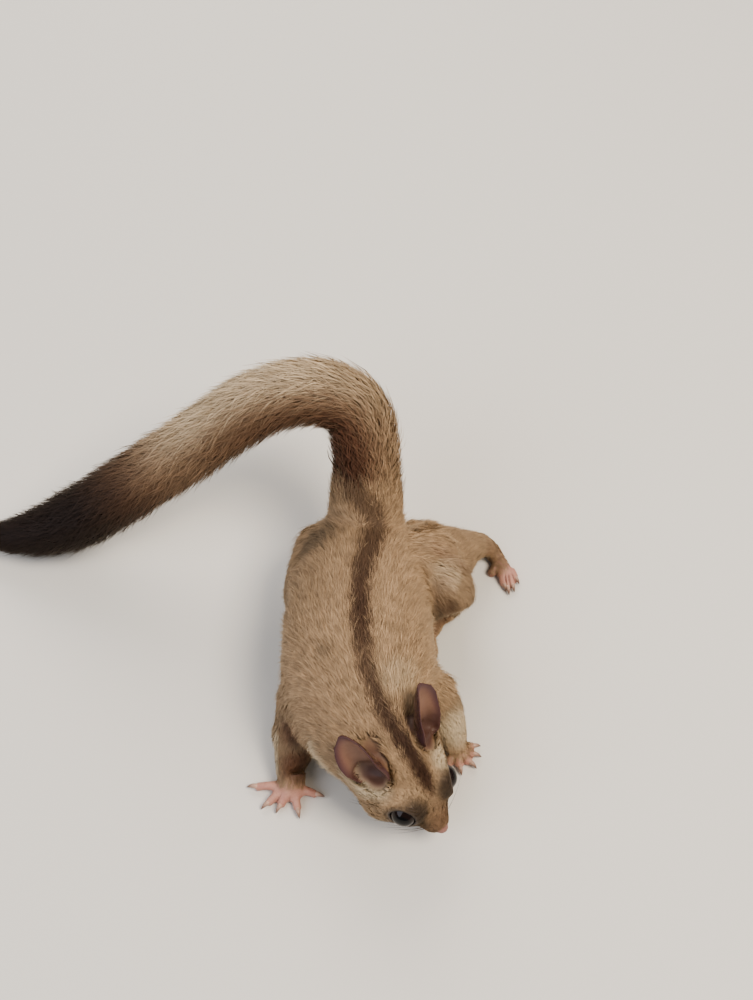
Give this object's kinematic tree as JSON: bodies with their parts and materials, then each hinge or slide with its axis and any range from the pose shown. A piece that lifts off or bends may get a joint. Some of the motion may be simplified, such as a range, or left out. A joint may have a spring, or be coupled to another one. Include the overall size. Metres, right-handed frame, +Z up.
{
  "type": "sugar glider",
  "caption": "Life-size still sugar glider on all fours, head down and turned to its left, bushy tail arched over to its right, for use as a museum-like animal figure.",
  "frame": {"origin": "centre of the bounding box, at floor level under the feet", "axes": "+Z up from the floor, -Y the way the body faces, +X the animal's left, along the whole animal with its tail"},
  "size_m": [0.2028, 0.1444, 0.0829],
  "materials": {
    "fur": "matte",
    "dark_fur": "matte",
    "membrane_fur": "matte",
    "paw_skin": "satin",
    "ear_skin": "satin",
    "nose_skin": "satin",
    "eye": "gloss"
  },
  "bodies": {
    "root": {"ear_left": "ear_skin", "ear_right": "ear_skin", "eye_left": "eye", "eye_right": "eye", "foreleg_left": "fur", "foreleg_right": "fur", "forepaw_left": "paw_skin", "forepaw_right": "paw_skin", "gliding_membrane_left": "membrane_fur", "gliding_membrane_right": "membrane_fur", "head": "fur", "hindfoot_left": "paw_skin", "hindfoot_right": "paw_skin", "hindleg_left": "fur", "hindleg_right": "fur", "neck": "fur", "nose": "nose_skin", "tail_arch": "fur", "tail_base": "fur", "tail_middle": "fur", "tail_tip": "dark_fur", "torso": "fur"}
  },
  "joints": []
}
